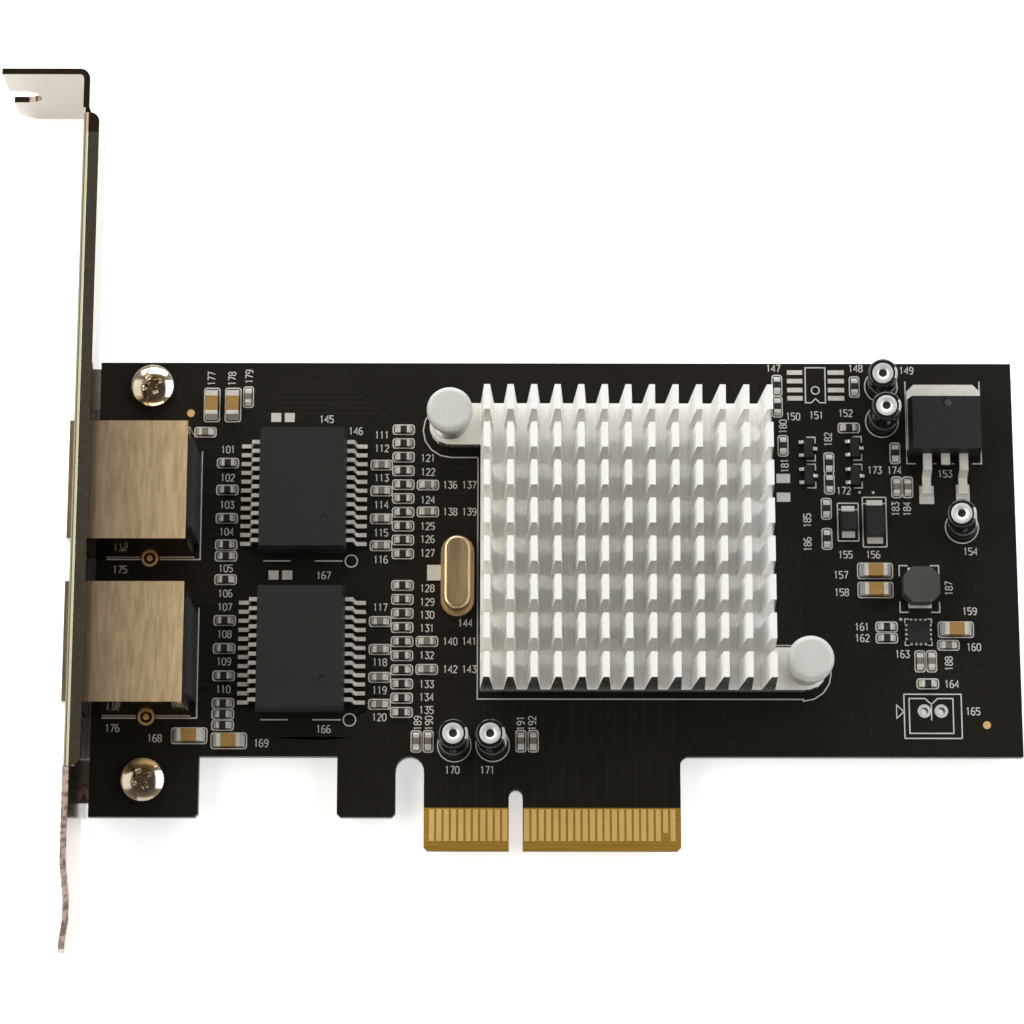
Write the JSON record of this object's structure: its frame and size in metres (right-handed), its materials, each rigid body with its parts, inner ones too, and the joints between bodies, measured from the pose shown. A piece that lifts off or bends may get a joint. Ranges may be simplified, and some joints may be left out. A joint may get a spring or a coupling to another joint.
{
  "type": "network interface card",
  "caption": "Network interface card: black board with edge connector, full-height bracket, shielded jacks, line transformers and a finned heat sink held by push pins.",
  "frame": {"origin": "centre of the connector's key notch, at the connector's edge, on the board's component face", "axes": "+X along the card away from the bracket, +Y from the edge connector to the board's top edge, +Z out of the component side"},
  "size_m": [0.1414, 0.1223, 0.0184],
  "materials": {
    "solder_mask": "black solder mask over glass laminate, satin",
    "gold_plating": "hard gold plate, satin",
    "bracket_steel": "nickel-plated sheet steel, smooth",
    "screw_steel": "nickel-plated, bright",
    "shield_metal": "tinned copper-alloy sheet, brushed",
    "housing_plastic": "moulded black, fine grain",
    "contact_gold": "gold-plated wire, polished",
    "light_pipe": "clear green, moulded",
    "moulding_charcoal": "moulded epoxy, fine matt grain",
    "tinned_lead": "matt tin plate",
    "heat_sink_aluminium": "extruded and cut, bright anodised",
    "chip_substrate": "laminate with a moulded cap",
    "pad_grey": "soft filled pad, matt",
    "pin_nylon": "natural nylon, milky",
    "spring_wire": "bright drawn wire",
    "crystal_metal": "drawn nickel-plated can, brushed",
    "can_aluminium": "drawn aluminium, satin",
    "sleeve_black": "shrunk film sleeve, glossy",
    "bung_rubber": "moulded rubber, matt",
    "ceramic_tan": "fired ceramic, satin",
    "ceramic_grey": "fired ceramic, matt",
    "resistor_glaze": "dark glaze, satin",
    "solder": "reflowed solder, bright",
    "ferrite_grey": "pressed ferrite, matt"
  },
  "bodies": {
    "root": {"circuit_board": "solder_mask", "edge_contacts": "gold_plating", "bracket": "bracket_steel", "bracket_screws": "screw_steel", "jack_1_shield": "shield_metal", "jack_2_shield": "shield_metal", "jack_1_housing": "housing_plastic", "jack_2_housing": "housing_plastic", "jack_1_wires": "contact_gold", "jack_2_wires": "contact_gold", "jack_1_lights": "light_pipe", "jack_2_lights": "light_pipe", "transformer_1_body": "moulding_charcoal", "transformer_2_body": "moulding_charcoal", "transformer_1_leads": "tinned_lead", "transformer_2_leads": "tinned_lead", "heat_sink": "heat_sink_aluminium", "controller_chip": "chip_substrate", "thermal_pad": "pad_grey", "push_pins": "pin_nylon", "push_pin_springs": "spring_wire", "crystal_base": "crystal_metal", "crystal_can": "crystal_metal", "crystal_ground_tab": "tinned_lead", "capacitor_cans": "can_aluminium", "capacitor_sleeves": "sleeve_black", "capacitor_bungs": "bung_rubber", "capacitor_wires": "tinned_lead", "regulator_tab": "tinned_lead", "regulator_body": "moulding_charcoal", "regulator_leads": "tinned_lead", "inductor_core": "ferrite_grey", "inductor_terminals": "tinned_lead", "converter_chip": "moulding_charcoal", "converter_chip_pads": "tinned_lead", "transistor_bodies": "moulding_charcoal", "transistor_leads": "tinned_lead", "diode_bodies": "moulding_charcoal", "diode_terminals": "tinned_lead", "resistor_bodies": "resistor_glaze", "resistor_ends": "solder", "small_capacitor_bodies": "ceramic_grey", "small_capacitor_ends": "solder", "large_capacitor_bodies": "ceramic_tan", "large_capacitor_ends": "solder", "solder_joints": "solder"}
  },
  "joints": []
}
